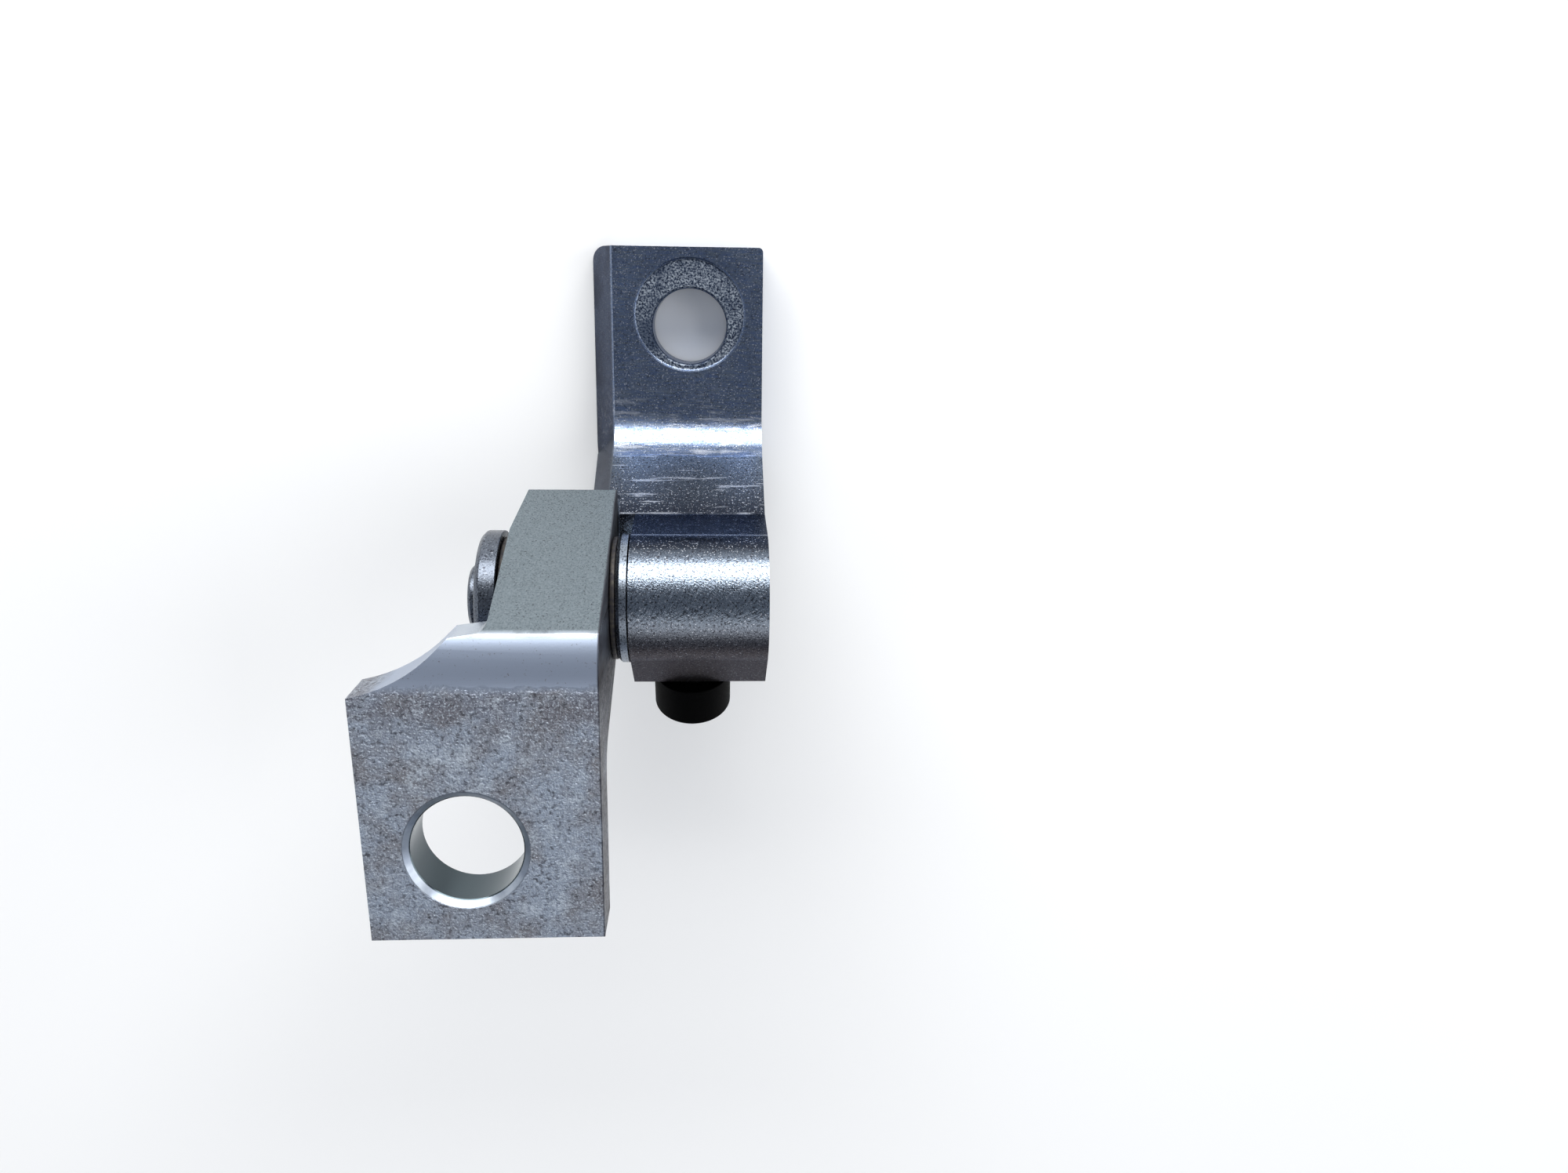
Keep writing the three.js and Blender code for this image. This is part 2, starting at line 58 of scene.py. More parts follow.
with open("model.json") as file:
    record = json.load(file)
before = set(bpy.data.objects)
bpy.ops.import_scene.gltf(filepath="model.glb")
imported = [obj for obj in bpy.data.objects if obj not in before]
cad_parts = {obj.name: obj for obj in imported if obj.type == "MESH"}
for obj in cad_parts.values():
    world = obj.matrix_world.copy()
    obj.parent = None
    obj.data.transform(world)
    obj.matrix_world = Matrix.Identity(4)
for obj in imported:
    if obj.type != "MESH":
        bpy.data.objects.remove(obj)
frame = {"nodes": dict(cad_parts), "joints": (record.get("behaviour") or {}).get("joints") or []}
CAD_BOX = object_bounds()
MM = 0.001

PIN_AXIS = Vector(frame["joints"][0]["pos_m"])
PILLAR_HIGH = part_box("pillar_leaf")[1]
DOOR_LOW, DOOR_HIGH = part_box("door_leaf")

# Where the finishes change on each leaf.
PILLAR_BOLT_Y = 11.3 * MM
PILLAR_BOLT_RADIUS = 8.4 * MM
PILLAR_RIM_RADIUS = 9.4 * MM
CREASE_Y = PIN_AXIS.y + 1.4 * MM
BEND_END_Y = PIN_AXIS.y - 6.2 * MM
FILLET_END_Y = PIN_AXIS.y + 19.8 * MM
FACET_Y = PIN_AXIS.y - 8.6 * MM
TAB_FACE_Z = DOOR_LOW.z + 8 * MM
DOOR_BOLT_X = PILLAR_HIGH.x + 12 * MM
DOOR_BOLT_Y = PIN_AXIS.y + 42.4 * MM
DOOR_BOLT_RADIUS = 6.7 * MM
SEAT_RADIUS = 10 * MM
SEAT_SHIFT = 2 * MM
WEB_SLOPE = math.radians(58.8)
WEB_OUT = Vector((0, math.sin(WEB_SLOPE), math.cos(WEB_SLOPE)))

# Meshes and stage.
MERGE_GAP = 0.002 * MM
FLAT_DEGREES = 0.6
BEVEL_DEGREES = 24
SHARP_DEGREES = 28
FLOOR_HALF = 1.3
FLOOR_GAP = 0.5 * MM


# ---- Sizes and colours that a user would change ----------------------------------------------
def length(name, description, default_mm):
    return bpy.props.FloatProperty(
        name=name, description=description, default=default_mm * MM, unit="LENGTH", precision=5)


def color(name, description, value):
    return bpy.props.StringProperty(name=name, description=description, default=value)


class HingeSizes(bpy.types.PropertyGroup):
    """Sizes of the broken edges and of the surface grain."""

    leaf_edge: length("Leaf edge", "Rounding of the leaves' sawn edges", 0.45)
    turned_edge: length("Turned edge", "Rounding of the turned pieces' edges", 0.2)
    plate_lumps: length("Plate lumps", "Size of the lumps in the plate's blasted skin", 0.7)
    rolled_grain: length("Rolled grain", "Size of the grains in the plated rolled skin", 0.34)
    cutter_lines: length("Cutter lines", "Spacing of the milling lines on the tab", 0.16)
    speck_size: length("Speck size", "Size of the dark specks in the plating", 0.26)


class HingeColors(bpy.types.PropertyGroup):
    """Colours of the finishes, as sRGB hex values."""

    arm_grey: color("Arm grey", "Matt grey-green zinc on the arm's sawn face", "6C767B")
    arm_pale: color("Arm, pale", "Lighter grains on the arm's sawn face", "7C868B")
    bend_blue: color("Bend blue", "Smooth bluish zinc on the bend", "A2ADBF")
    plate_blue: color("Plate blue-grey", "Blasted zinc on the plate", "99A3B2")
    plate_brown: color("Plate brown-grey", "Stained zinc on the plate", "828389")
    plate_stain: color("Plate stain", "Darker stain along the bend", "5F5E68")
    # Zinc bloom is the plate's real whitish bloom, and also the colour of the painted highlight line along
    # the pillar leaf's crease.
    zinc_bloom_and_highlight: color("Zinc bloom", "Whitish bloom on the plate", "BCC5CF")
    grime: color("Grime", "Dark deposit in the grain", "2E2D33")
    bore_grey: color("Bore grey", "Smooth drilled walls of the bolt holes", "515D62")
    tab_blue: color("Tab blue-grey", "Milled face of the tab", "7285AA")
    seat_grey: color("Seat grey", "Rough floor of the washer seat", "39455A")
    skin_blue: color("Skin blue-grey", "Rolled skin of the web and knuckle", "87929F")
    # Skin, dark is painted shade and dark reflection on the web's outer face and the knuckle's top, and
    # also the dark grains of the washer seat.
    shade_and_grime_dark: color("Skin, dark", "Thicker deposit where the web runs into the knuckle", "1D212D")
    # Flank brown-grey is partly duller zinc on the flank and partly a painted reflection of the plate.
    flank_brown: color("Flank brown-grey", "Duller skin on the knuckle's flank", "544F50")
    sawn_dark: color("Sawn side", "Dull, stained sawn sides of both leaves", "3A393F")
    grazing: color("Grazing tint", "How light the door leaf's plating is at grazing angles", "C4C8D0")
    # Sparkle is the colour of painted glints and painted highlight lines, and also of real rub marks and
    # scuffs.
    glint_and_wear_white: color("Sparkle", "Bright grains in the rolled skin", "E4E8F0")
    turned_grey: color("Turned grey", "Zinc on the turned pieces", "646A73")
    collar_pale: color("Collar, pale", "Lighter zinc on the pin's collar", "8B949F")
    bush_lining: color("Bush lining", "Dark bronze of the bushes", "4A4640")
    screw_black: color("Screw black", "Black oxide of the lock screw", "020202")
    screw_dust: color("Screw dust", "Faint lighter grains on the lock screw", "080809")
    floor_light: color("Floor, light", "Pale studio floor", "F6F6F5")
    floor_shade: color("Floor, shade", "Faint unevenness of the floor", "F1F1F0")
    air: color("Studio air", "Dim bluish room round the hinge", "D0D9EA")


class HingeStage(bpy.types.PropertyGroup):
    """Camera placement and lens."""

    distance: length("Camera distance", "From the camera to the pin, along its view", 192)
    pin_right: length("Pin aside", "From the view's centre to the arm's inner side, leftwards", 27.8)
    pin_down: length("Pin below", "From the view's centre down to the pin axis", 1.85)
    lean: bpy.props.FloatProperty(
        name="Lean", description="Turn of the view about the pin axis",
        default=math.radians(14.5), unit="ROTATION")
    roll: bpy.props.FloatProperty(
        name="Side tilt", description="Turn of the view across the pin axis",
        default=math.radians(3.4), unit="ROTATION")
    lens: bpy.props.FloatProperty(name="Lens", description="Focal length in mm", default=27.0)


def sizes():
    return bpy.context.scene.hinge_sizes


def colors():
    """Every colour of the finishes as linear RGBA."""
    group = bpy.context.scene.hinge_colors
    return SimpleNamespace(**{key: to_linear(getattr(group, key)) for key in group.__annotations__})


def to_linear(hex_value):
    """Linear RGBA of an sRGB hex colour."""
    channels = [int(hex_value[i:i + 2], 16) / 255 for i in (0, 2, 4)]
    linear = [c / 12.92 if c <= 0.04045 else ((c + 0.055) / 1.055) ** 2.4 for c in channels]
    return (*linear, 1.0)


# ---- Mesh helpers ----------------------------------------------------------------------------
def apply_modifiers(piece):
    """Bakes the live modifiers into a plain mesh."""
    depsgraph = bpy.context.evaluated_depsgraph_get()
    baked = bpy.data.meshes.new_from_object(piece.evaluated_get(depsgraph))
    piece.modifiers.clear()
    piece.data = baked
    piece.data.name = piece.name


def refined_copy(node, name, edge):
    """A copy of a CAD solid with merged faces, rounded edges and smooth shading."""
    mesh = frame["nodes"][node].data.copy()
    piece = bpy.data.objects.new(name, mesh)
    bpy.context.scene.collection.objects.link(piece)
    work = bmesh.new()
    work.from_mesh(mesh)
    bmesh.ops.remove_doubles(work, verts=work.verts, dist=MERGE_GAP)
    bmesh.ops.dissolve_limit(
        work, angle_limit=math.radians(FLAT_DEGREES), verts=work.verts, edges=work.edges)
    work.to_mesh(mesh)
    work.free()
    mesh.materials.clear()
    bevel = piece.modifiers.new("broken edges", "BEVEL")
    bevel.limit_method = "ANGLE"
    bevel.angle_limit = math.radians(BEVEL_DEGREES)
    bevel.width = edge
    bevel.segments = 3
    bevel.use_clamp_overlap = True
    bevel.miter_outer = "MITER_ARC"
    bpy.context.view_layer.update()
    apply_modifiers(piece)
    for polygon in piece.data.polygons:
        polygon.use_smooth = True
    piece.data.set_sharp_from_angle(angle=math.radians(SHARP_DEGREES))
    weighted = piece.modifiers.new("face weights", "WEIGHTED_NORMAL")
    weighted.keep_sharp = True
    weighted.weight = 80
    bpy.context.view_layer.update()
    apply_modifiers(piece)
    return piece


def finish_piece(piece, node, body, material):
    """Gives a piece its material and its place in the assembly."""
    piece.data.materials.clear()
    piece.data.materials.append(material)
    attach(piece, body)
    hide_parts(node)


# ---- Materials -------------------------------------------------------------------------------
NOISE = "ShaderNodeTexNoise"
RAMP = "ShaderNodeMapRange"
MIX = "ShaderNodeMix"
MATH = "ShaderNodeMath"
MAPPING = "ShaderNodeMapping"
AXES = "ShaderNodeSeparateXYZ"
BUMP = "ShaderNodeBump"
TIMES = {"operation": "MULTIPLY"}
PLUS = {"operation": "ADD"}
MINUS = {"operation": "SUBTRACT"}
LARGER = {"operation": "MAXIMUM"}
IN_COLOR = {"data_type": "RGBA"}


def feed(node, inputs):
    """Sets inputs by place or by name, each from a value or from another node's output."""
    pairs = inputs.items() if isinstance(inputs, dict) else enumerate(inputs)
    for key, value in pairs:
        if isinstance(value, bpy.types.NodeSocket):
            node.id_data.links.new(value, node.inputs[key])
        else:
            node.inputs[key].default_value = value


def add_node(tree, kind, inputs=(), settings=None, output=0):
    """Adds a node with its settings and links, and gives back one of its outputs."""
    node = tree.nodes.new(kind)
    for key, value in (settings or {}).items():
        setattr(node, key, value)
    feed(node, inputs)
    return node.outputs[output]


def new_material(name, constants):
    """A material with its shader; constants go on the shader's own sockets."""
    material = bpy.data.materials.new(name)
    material.use_nodes = True
    add = partial(add_node, material.node_tree)
    shader = material.node_tree.nodes["Principled BSDF"]
    feed(shader, constants)
    place = add("ShaderNodeTexCoord", output="Object")
    return material, add, shader, place


def distance_from_bolt(add, place, x, y):
    """Distance from a bolt hole's upright axis."""
    flat = add(MAPPING, {"Vector": place, "Location": (-x, -y, 0), "Scale": (1, 1, 0)})
    return add("ShaderNodeVectorMath", (flat,), {"operation": "LENGTH"}, "Value")


def pillar_zinc():
    """Zinc-plated rolled steel: a matt sawn arm with fine dark specks, a smooth bluish bend
    with a painted highlight line along its crease, and a plate with a blasted grain, cloudy
    passivation and stains that the grain holds."""
    size, tint = sizes(), colors()
    material, add, shader, place = new_material("zinc_plated_rolled_steel", {"Metallic": 0.85})
    axes = add(AXES, (place,)).node.outputs
    across, along = axes["X"], axes["Y"]
    from_bolt = distance_from_bolt(add, place, 0.0, PILLAR_BOLT_Y)

    clouds = add(NOISE, {"Vector": place, "Scale": 1 / (9 * MM), "Detail": 5, "Roughness": 0.62})
    upright = add(MAPPING, {"Vector": place, "Scale": (1, 1, 0.4)})
    patches = add(NOISE, {"Vector": upright, "Scale": 1 / (4 * MM), "Detail": 4, "Roughness": 0.6})
    lumps = add(NOISE, {"Vector": place, "Scale": 1 / size.plate_lumps, "Detail": 3, "Roughness": 0.62})
    grains = add(NOISE, {"Vector": place, "Scale": 1 / size.rolled_grain, "Detail": 2, "Roughness": 0.6})
    specks = add(NOISE, {"Vector": place, "Scale": 1 / size.speck_size, "Detail": 2, "Roughness": 0.6})

    # The blasted grain starts where the bend ends, along a slightly wandering line.
    wander = add(MATH, (along, add(RAMP, (patches, 0.3, 0.7, -0.5 * MM, 0.5 * MM))), PLUS)
    on_plate = add(RAMP, (wander, BEND_END_Y + 0.5 * MM, BEND_END_Y - 0.7 * MM))
    on_arm = add(RAMP, (along, CREASE_Y - 0.1 * MM, CREASE_Y + 0.1 * MM))
    crease_start = add(RAMP, (along, CREASE_Y - 0.75 * MM, CREASE_Y - 0.35 * MM))
    crease_end = add(RAMP, (along, CREASE_Y + 0.4 * MM, CREASE_Y + 0.1 * MM))
    crease = add(MATH, (crease_start, crease_end), TIMES)
    sawn_side = add(RAMP, (across, PILLAR_HIGH.x - 0.3 * MM, PILLAR_HIGH.x - 0.1 * MM))
    bore_wall = add(RAMP, (from_bolt, PILLAR_BOLT_RADIUS + 0.1 * MM, PILLAR_BOLT_RADIUS))
    in_bore = add(MATH, (bore_wall, on_plate), TIMES)
    rim = add(RAMP, (from_bolt, PILLAR_RIM_RADIUS, PILLAR_RIM_RADIUS - 0.2 * MM))
    in_rim = add(MATH, (rim, on_plate), TIMES)
    blasted = add(MATH, (on_plate, in_rim), MINUS)

    # Sawn arm and smooth bend, with a broken painted highlight line along the crease between them.
    fine_specks = add(RAMP, (specks, 0.44, 0.32))
    arm_specks = add(MATH, (fine_specks, add(RAMP, (clouds, 0.3, 0.6, 0.95, 0.6))), TIMES)
    arm_grains = add(RAMP, (grains, 0.35, 0.65))
    arm_tone = add(MIX, {0: arm_grains, 6: tint.arm_grey, 7: tint.arm_pale}, IN_COLOR, 2)
    arm_tone = add(MIX, {0: arm_specks, 6: arm_tone, 7: tint.grime}, IN_COLOR, 2)
    bend_specks = add(RAMP, (grains, 0.34, 0.28))
    bend_tone = add(MIX, {0: bend_specks, 6: tint.bend_blue, 7: tint.plate_brown}, IN_COLOR, 2)
    smooth_tone = add(MIX, {0: on_arm, 6: bend_tone, 7: arm_tone}, IN_COLOR, 2)
    # Painted highlight: a broken line of the bloom colour along the crease.
    crease_highlight = add(MATH, (crease, add(RAMP, (patches, 0.38, 0.55, 0.35, 1.0))), TIMES)
    smooth_tone = add(MIX, {0: crease_highlight, 6: smooth_tone, 7: tint.zinc_bloom_and_highlight}, IN_COLOR, 2)

    # Blasted plate: stains, then bloom, then the dirt that its hollows hold.
    stain = add(RAMP, (clouds, 0.42, 0.60))
    near_bend = add(RAMP, (along, BEND_END_Y - 9 * MM, BEND_END_Y - 2 * MM))
    by_bend = add(MATH, (near_bend, add(RAMP, (patches, 0.40, 0.56))), TIMES)
    bend_stain = add(MATH, (by_bend, 0.75), TIMES)
    from_bloom = distance_from_bolt(add, place, -1 * MM, PILLAR_BOLT_Y + 12 * MM)
    bloom_spot = add(MATH, (add(RAMP, (from_bloom, 8 * MM, 3 * MM)), 0.10), TIMES)
    bloom_field = add(RAMP, (add(MATH, (patches, bloom_spot), PLUS), 0.53, 0.68))
    bloom = add(MATH, (bloom_field, add(RAMP, (lumps, 0.40, 0.58))), TIMES)
    bloom = add(MATH, (bloom, 0.75), TIMES)
    bright_grains = add(RAMP, (grains, 0.52, 0.68, 0.0, 0.9))
    held = add(RAMP, (lumps, 0.50, 0.34))
    dirt = add(MATH, (held, add(RAMP, (patches, 0.62, 0.40, 0.25, 0.75))), TIMES)
    near_rim = add(RAMP, (from_bolt, PILLAR_BOLT_RADIUS + 3.5 * MM, PILLAR_BOLT_RADIUS))
    rim_dirt = add(MATH, (add(MATH, (near_rim, held), TIMES), 0.8), TIMES)
    dirt = add(MATH, (dirt, rim_dirt), LARGER)
    plate_tone = add(MIX, {0: stain, 6: tint.plate_blue, 7: tint.plate_brown}, IN_COLOR, 2)
    plate_layers = (
        (bend_stain, tint.plate_stain),
        (bloom, tint.zinc_bloom_and_highlight),
        (bright_grains, tint.zinc_bloom_and_highlight),
        (dirt, tint.grime),
    )
    for mask, layer in plate_layers:
        plate_tone = add(MIX, {0: mask, 6: plate_tone, 7: layer}, IN_COLOR, 2)

    rim_bloom = add(RAMP, (patches, 0.35, 0.6))
    rim_tone = add(MIX, {0: rim_bloom, 6: tint.zinc_bloom_and_highlight, 7: tint.plate_blue}, IN_COLOR, 2)
    side_stain = add(MATH, (sawn_side, add(RAMP, (patches, 0.35, 0.6, 1.0, 0.7))), TIMES)
    tone = smooth_tone
    leaf_layers = (
        (on_plate, plate_tone),
        (in_rim, rim_tone),
        (in_bore, tint.bore_grey),
        (side_stain, tint.sawn_dark),
    )
    for mask, layer in leaf_layers:
        tone = add(MIX, {0: mask, 6: tone, 7: layer}, IN_COLOR, 2)

    rough = add(MIX, {0: on_arm, 2: 0.36, 3: 0.56})
    plate_rough = add(RAMP, (lumps, 0.35, 0.65, 0.48, 0.30))
    for mask, value in ((crease, 0.24), (on_plate, plate_rough), (in_rim, 0.34), (in_bore, 0.18)):
        rough = add(MIX, {0: mask, 2: rough, 3: value})

    raised_lumps = add(MATH, (lumps, blasted), TIMES)
    raised_grains = add(MATH, (grains, blasted), TIMES)
    normal = add(BUMP, {"Height": raised_lumps, "Distance": 0.34 * MM, "Strength": 0.7})
    normal = add(BUMP, {
        "Height": raised_grains, "Distance": 0.20 * MM, "Strength": 1.0, "Normal": normal})
    normal = add(BUMP, {"Height": specks, "Distance": 0.02 * MM, "Strength": 0.25, "Normal": normal})
    feed(shader, {"Base Color": tone, "Roughness": rough, "Normal": normal})
    return material


def door_zinc():
    """Zinc-plated rolled steel: a smooth milled tab with fine cutter lines and a polished
    fillet, a rough washer seat, and a pitted rolled skin on the web and knuckle with painted
    glints, painted highlight lines and painted shade."""
    size, tint = sizes(), colors()
    # A dull deposit swallows light at grazing angles.
    constants = {"Metallic": 1.0, "Specular Tint": tint.grazing}
    material, add, shader, place = new_material("blue_zinc_on_rolled_steel", constants)
    axes = add(AXES, (place,)).node.outputs
    across, along, height = axes["X"], axes["Y"], axes["Z"]
    from_bolt = distance_from_bolt(add, place, DOOR_BOLT_X, DOOR_BOLT_Y)
    from_seat = distance_from_bolt(add, place, DOOR_BOLT_X, DOOR_BOLT_Y + SEAT_SHIFT)

    clouds = add(NOISE, {"Vector": place, "Scale": 1 / (8 * MM), "Detail": 4, "Roughness": 0.55})
    grains = add(NOISE, {"Vector": place, "Scale": 1 / size.rolled_grain, "Detail": 2.5, "Roughness": 0.65})
    glints = add(NOISE, {"Vector": place, "Scale": 1 / size.speck_size, "Detail": 1, "Roughness": 0.5})
    pits = add(NOISE, {
        "Vector": place, "Scale": 1 / (size.speck_size * 1.3), "Detail": 2, "Roughness": 0.65})
    # Marks of cutting and rubbing run along the pin.
    fine_run = add(MAPPING, {"Vector": place, "Scale": (0.06, 1, 1)})
    rub_run = add(MAPPING, {"Vector": place, "Scale": (0.16, 1, 1)})
    scrape_run = add(MAPPING, {"Vector": place, "Scale": (0.09, 1, 1)})
    cutter = add(NOISE, {
        "Vector": fine_run, "Scale": 1 / size.cutter_lines, "Detail": 2, "Roughness": 0.5})
    rubs = add(NOISE, {"Vector": rub_run, "Scale": 1 / (0.8 * MM), "Detail": 3, "Roughness": 0.6})
    scrapes = add(NOISE, {"Vector": scrape_run, "Scale": 1 / (0.9 * MM), "Detail": 2, "Roughness": 0.5})

    edge = add(MATH, (along, add(RAMP, (clouds, 0.3, 0.7, -0.25 * MM, 0.25 * MM))), PLUS)
    rolled = add(RAMP, (edge, FILLET_END_Y + 0.15 * MM, FILLET_END_Y - 0.15 * MM))
    flank = add(RAMP, (along, FACET_Y + 0.3 * MM, FACET_Y - 0.3 * MM))
    low = add(RAMP, (along, PIN_AXIS.y + 0.5 * MM, PIN_AXIS.y - 6 * MM))

    # Distance out from the pin, square to the web's outer face, tells that face from its back. Painted
    # shade goes on that face and on the knuckle's top: dark from past the knuckle's round, fading up the
    # web.
    out_y = add(MATH, (add(MATH, (along, PIN_AXIS.y), MINUS), WEB_OUT.y), TIMES)
    out_z = add(MATH, (add(MATH, (height, PIN_AXIS.z), MINUS), WEB_OUT.z), TIMES)
    shaded = add(RAMP, (add(MATH, (out_y, out_z), PLUS), 2.5 * MM, 4 * MM))
    past_round = add(RAMP, (along, PIN_AXIS.y + 7.6 * MM, PIN_AXIS.y + 9.6 * MM))
    up_web = add(RAMP, (along, PIN_AXIS.y + 20.5 * MM, PIN_AXIS.y + 12.5 * MM, 0.35, 0.92))
    for mask in (past_round, up_web):
        shaded = add(MATH, (shaded, mask), TIMES)

    # The web's foot, where it meets the flat strip, which gets a broken painted highlight line.
    brow = add(RAMP, (along, PIN_AXIS.y + 11.3 * MM, PIN_AXIS.y + 11.6 * MM))
    brow_top = add(RAMP, (height, PIN_AXIS.z - 10.2 * MM, PIN_AXIS.z - 10.4 * MM))
    brow_foot = add(RAMP, (height, PIN_AXIS.z - 11.1 * MM, PIN_AXIS.z - 10.8 * MM))
    for mask in (brow_top, brow_foot):
        brow = add(MATH, (brow, mask), TIMES)

    # The line along which that strip passes into the knuckle's round, which gets a painted highlight line.
    round_start = add(RAMP, (along, PIN_AXIS.y + 10.2 * MM, PIN_AXIS.y + 10.4 * MM))
    round_foot = add(RAMP, (height, PIN_AXIS.z + 0.7 * MM, PIN_AXIS.z + 0.9 * MM))
    round_top = add(RAMP, (height, PIN_AXIS.z + 1.4 * MM, PIN_AXIS.z + 1.2 * MM))
    for mask in (round_foot, round_top):
        round_start = add(MATH, (round_start, mask), TIMES)

    on_web = add(RAMP, (along, PIN_AXIS.y + 12 * MM, PIN_AXIS.y + 13 * MM))
    scuffs = add(MATH, (add(RAMP, (scrapes, 0.65, 0.68)), on_web), TIMES)
    sawn_side = add(RAMP, (across, PILLAR_HIGH.x - 1.7 * MM, PILLAR_HIGH.x - 2.1 * MM))
    right_end = add(RAMP, (across, DOOR_HIGH.x - 0.5 * MM, DOOR_HIGH.x - 0.2 * MM))
    seat = add(RAMP, (from_seat, SEAT_RADIUS, SEAT_RADIUS - 0.1 * MM))
    seat_floor = add(RAMP, (height, TAB_FACE_Z - 0.25 * MM, TAB_FACE_Z - 0.4 * MM))
    round_hole = add(RAMP, (from_bolt, DOOR_BOLT_RADIUS, DOOR_BOLT_RADIUS + 0.1 * MM))
    for mask in (seat_floor, round_hole):
        seat = add(MATH, (seat, mask), TIMES)
    rubbed = add(RAMP, (along, FILLET_END_Y + 12.5 * MM, FILLET_END_Y + 8 * MM))
    rub_marks = add(RAMP, (rubs, 0.52, 0.66))
    not_rolled = add(RAMP, (rolled, 0.0, 1.0, 1.0, 0.0))
    for mask in (rub_marks, not_rolled):
        rubbed = add(MATH, (rubbed, mask), TIMES)

    # Milled face of the tab, with pits, painted glints and rub marks.
    cutter_tone = add(RAMP, (cutter, 0.35, 0.65))
    milled = add(MIX, {0: cutter_tone, 6: tint.tab_blue, 7: tint.skin_blue}, IN_COLOR, 2)
    milled_pits = add(MATH, (add(RAMP, (pits, 0.45, 0.34)), 0.6), TIMES)
    milled_painted_glints = add(MATH, (add(RAMP, (glints, 0.60, 0.72)), 0.8), TIMES)
    rub_tone = add(MATH, (rubbed, 0.6), TIMES)
    milled_layers = ((milled_pits, tint.grime), (milled_painted_glints, tint.glint_and_wear_white), (rub_tone, tint.glint_and_wear_white))
    for mask, layer in milled_layers:
        milled = add(MIX, {0: mask, 6: milled, 7: layer}, IN_COLOR, 2)

    # Rolled skin of the web and knuckle.
    skin_pits = add(MATH, (add(RAMP, (pits, 0.47, 0.36)), 0.85), TIMES)
    # Painted glints: bright specks of the glint colour on the skin, fewer in the painted shade, low on the
    # knuckle and at its right end.
    skin_glints = add(RAMP, (glints, 0.62, 0.72))
    fewer_glints_in_shade = add(RAMP, (shaded, 0, 1, 0.7, 0.6))
    fewer_glints_low = add(RAMP, (low, 0, 1, 1, 0.35))
    fewer_glints_at_end = add(RAMP, (right_end, 0, 1, 1, 0.3))
    for mask in (fewer_glints_in_shade, fewer_glints_low, fewer_glints_at_end):
        skin_glints = add(MATH, (skin_glints, mask), TIMES)
    # Painted highlight lines along the web's foot and along the start of the knuckle's round.
    brow_highlight = add(MATH, (brow, add(RAMP, (rubs, 0.45, 0.6, 0.0, 0.35))), TIMES)
    round_highlight = add(MATH, (round_start, 0.45), TIMES)
    scuff_tone = add(MATH, (scuffs, 0.4), TIMES)
    # Towards the knuckle's lower side the skin turns brown-grey: partly the flank's duller zinc, partly a
    # painted reflection of the plate.
    skin = add(MIX, {0: low, 6: tint.skin_blue, 7: tint.flank_brown}, IN_COLOR, 2)
    # Over the skin's own tone and pits go painted shade, painted glints, painted highlight lines and real
    # scuffs.
    skin_layers = (
        (shaded, tint.shade_and_grime_dark),
        (skin_pits, tint.grime),
        (skin_glints, tint.glint_and_wear_white),
        (brow_highlight, tint.glint_and_wear_white),
        (round_highlight, tint.glint_and_wear_white),
        (scuff_tone, tint.glint_and_wear_white),
    )
    for mask, layer in skin_layers:
        skin = add(MIX, {0: mask, 6: skin, 7: layer}, IN_COLOR, 2)

    # Rough floor of the washer seat.
    seat_patch = add(RAMP, (add(RAMP, (clouds, 0.40, 0.56)), 0, 1, 0.2, 0.9))
    seat_light = add(MATH, (add(RAMP, (grains, 0.44, 0.64)), seat_patch), TIMES)
    seat_dark = add(RAMP, (grains, 0.44, 0.34))
    seat_tone = add(MIX, {0: seat_light, 6: tint.seat_grey, 7: tint.zinc_bloom_and_highlight}, IN_COLOR, 2)
    seat_tone = add(MIX, {0: seat_dark, 6: seat_tone, 7: tint.shade_and_grime_dark}, IN_COLOR, 2)

    side_stain = add(MATH, (sawn_side, add(RAMP, (clouds, 0.35, 0.6, 1.0, 0.75))), TIMES)
    tone = milled
    for mask, layer in ((rolled, skin), (seat, seat_tone), (side_stain, tint.sawn_dark)):
        tone = add(MIX, {0: mask, 6: tone, 7: layer}, IN_COLOR, 2)

    skin_rough = add(MIX, {0: flank, 2: add(RAMP, (grains, 0.35, 0.7, 0.17, 0.31)), 3: 0.46})
    rough = add(RAMP, (clouds, 0.3, 0.7, 0.22, 0.30))
    for mask, value in ((rolled, skin_rough), (seat, 0.5)):
        rough = add(MIX, {0: mask, 2: rough, 3: value})

    raised_grains = add(MATH, (grains, rolled), TIMES)
    raised_grains = add(MATH, (raised_grains, add(RAMP, (shaded, 0, 1, 1, 0.6))), TIMES)
    raised_pits = add(MATH, (pits, rolled), TIMES)
    raised_pits = add(MATH, (raised_pits, add(RAMP, (shaded, 0, 1, 1, 0.5))), TIMES)
    raised_seat = add(MATH, (grains, seat), TIMES)
    normal = add(BUMP, {"Height": raised_grains, "Distance": 0.09 * MM, "Strength": 0.65})
    bumps = (
        (raised_pits, 0.05 * MM, 0.55),
        (raised_seat, 0.12 * MM, 0.6),
        (cutter, 0.012 * MM, 0.25),
        (rubbed, 0.02 * MM, 0.3),
    )
    for mask, depth, strength in bumps:
        normal = add(BUMP, {"Height": mask, "Distance": depth, "Strength": strength, "Normal": normal})
    feed(shader, {"Base Color": tone, "Roughness": rough, "Normal": normal})
    return material


